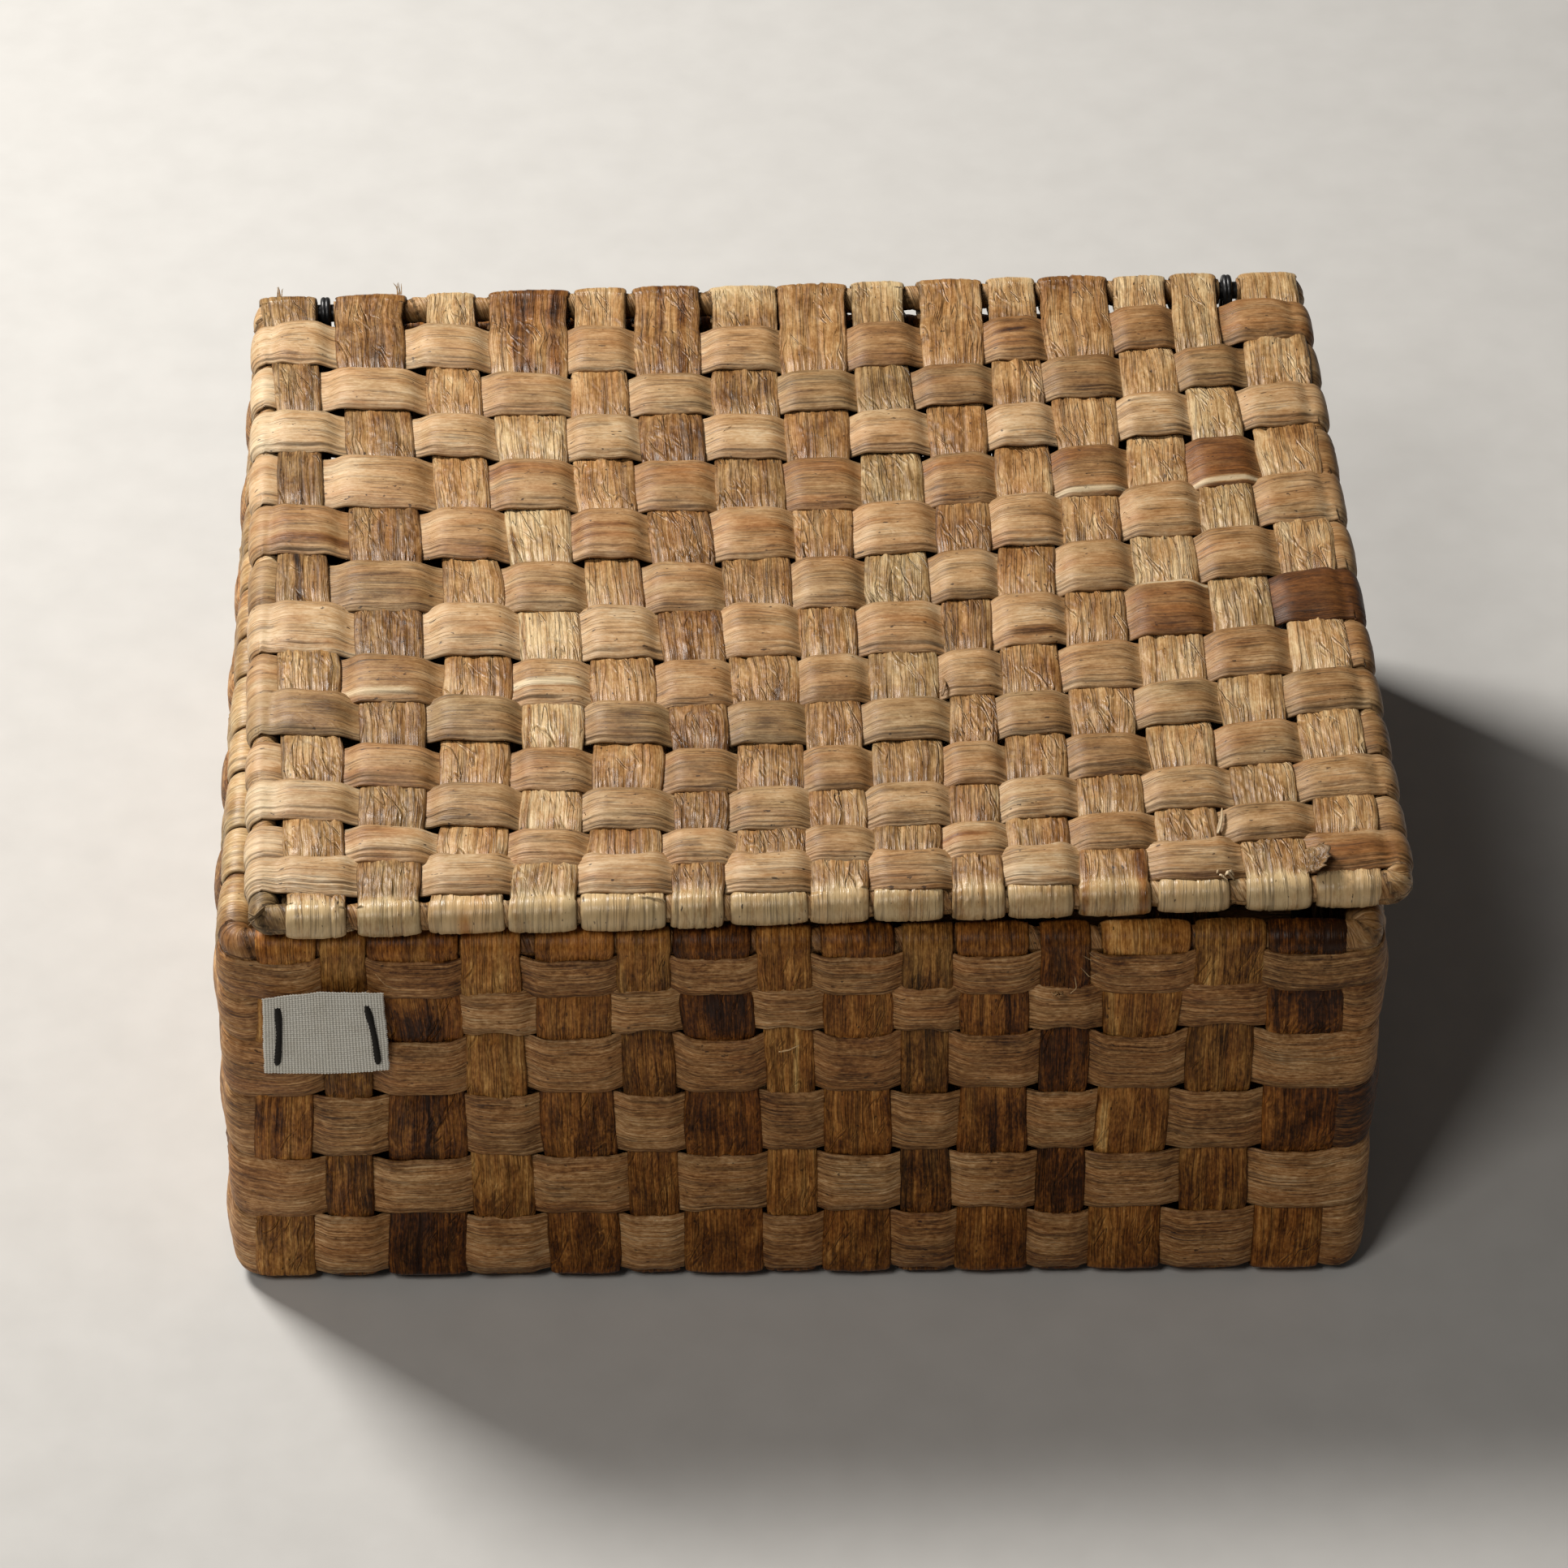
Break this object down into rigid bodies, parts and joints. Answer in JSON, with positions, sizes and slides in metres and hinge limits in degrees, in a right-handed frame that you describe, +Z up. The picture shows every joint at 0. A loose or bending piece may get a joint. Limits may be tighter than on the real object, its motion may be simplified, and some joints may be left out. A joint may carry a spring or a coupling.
{
  "type": "lidded woven storage basket",
  "caption": "Rectangular lidded storage basket woven from flat water hyacinth strips on a black steel rod frame, with a hinged lid and a bare cloth label on the front.",
  "frame": {"origin": "middle of the base, on its underside, where the basket stands", "axes": "+X to the right along the front, +Y from the front to the back where the lid is tied, +Z up"},
  "size_m": [0.3086, 0.2805, 0.134],
  "materials": {
    "black_steel": "satin black",
    "upright_strips": "natural, slightly glossy dried stalk",
    "band_strips": "natural, slightly glossy dried stalk",
    "lid_strips": "natural, slightly glossy dried stalk",
    "lid_cross_strips": "natural, slightly glossy dried stalk",
    "filler_strip": "natural, matte",
    "label_cloth": "off-white twill",
    "label_thread": "black thread"
  },
  "bodies": {
    "basket_body": {"body_rim_rod": "black_steel", "body_base_rod": "black_steel", "corner_post_front_left": "black_steel", "corner_post_front_right": "black_steel", "corner_post_back_left": "black_steel", "corner_post_back_right": "black_steel", "front_to_back_strips": "upright_strips", "side_to_side_strips": "upright_strips", "body_band_1": "band_strips", "body_band_2": "band_strips", "body_band_3": "band_strips", "body_band_4": "band_strips", "body_band_5": "band_strips", "body_band_6": "band_strips", "rim_filler_front": "filler_strip", "rim_filler_rear": "filler_strip", "hinge_tie_left": "black_steel", "hinge_tie_right": "black_steel", "cloth_label": "label_cloth", "label_stitch_left": "label_thread", "label_stitch_right": "label_thread"},
    "lid": {"lid_frame_rod": "black_steel", "lid_strip_01": "lid_strips", "lid_strip_02": "lid_strips", "lid_strip_03": "lid_strips", "lid_strip_04": "lid_strips", "lid_strip_05": "lid_strips", "lid_strip_06": "lid_strips", "lid_strip_07": "lid_strips", "lid_strip_08": "lid_strips", "lid_strip_09": "lid_strips", "lid_strip_10": "lid_strips", "lid_strip_11": "lid_strips", "lid_strip_12": "lid_strips", "lid_strip_13": "lid_strips", "lid_strip_14": "lid_strips", "lid_strip_15": "lid_strips", "lid_cross_strip_01": "lid_cross_strips", "lid_cross_strip_02": "lid_cross_strips", "lid_cross_strip_03": "lid_cross_strips", "lid_cross_strip_04": "lid_cross_strips", "lid_cross_strip_05": "lid_cross_strips", "lid_cross_strip_06": "lid_cross_strips", "lid_cross_strip_07": "lid_cross_strips", "lid_cross_strip_08": "lid_cross_strips", "lid_cross_strip_09": "lid_cross_strips", "lid_cross_strip_10": "lid_cross_strips", "lid_cross_strip_11": "lid_cross_strips", "lid_cross_strip_12": "lid_cross_strips", "lid_cross_strip_13": "lid_cross_strips", "lid_filler_front": "filler_strip", "lid_filler_rear": "filler_strip"}
  },
  "joints": [
    {"name": "lid_hinge", "type": "hinge", "parent": "basket_body", "child": "lid", "pos_m": [-0.0008, 0.13083, 0.1276], "axis": [-0.9995, -0.0323, 0], "range_deg": [0, 180]}
  ]
}
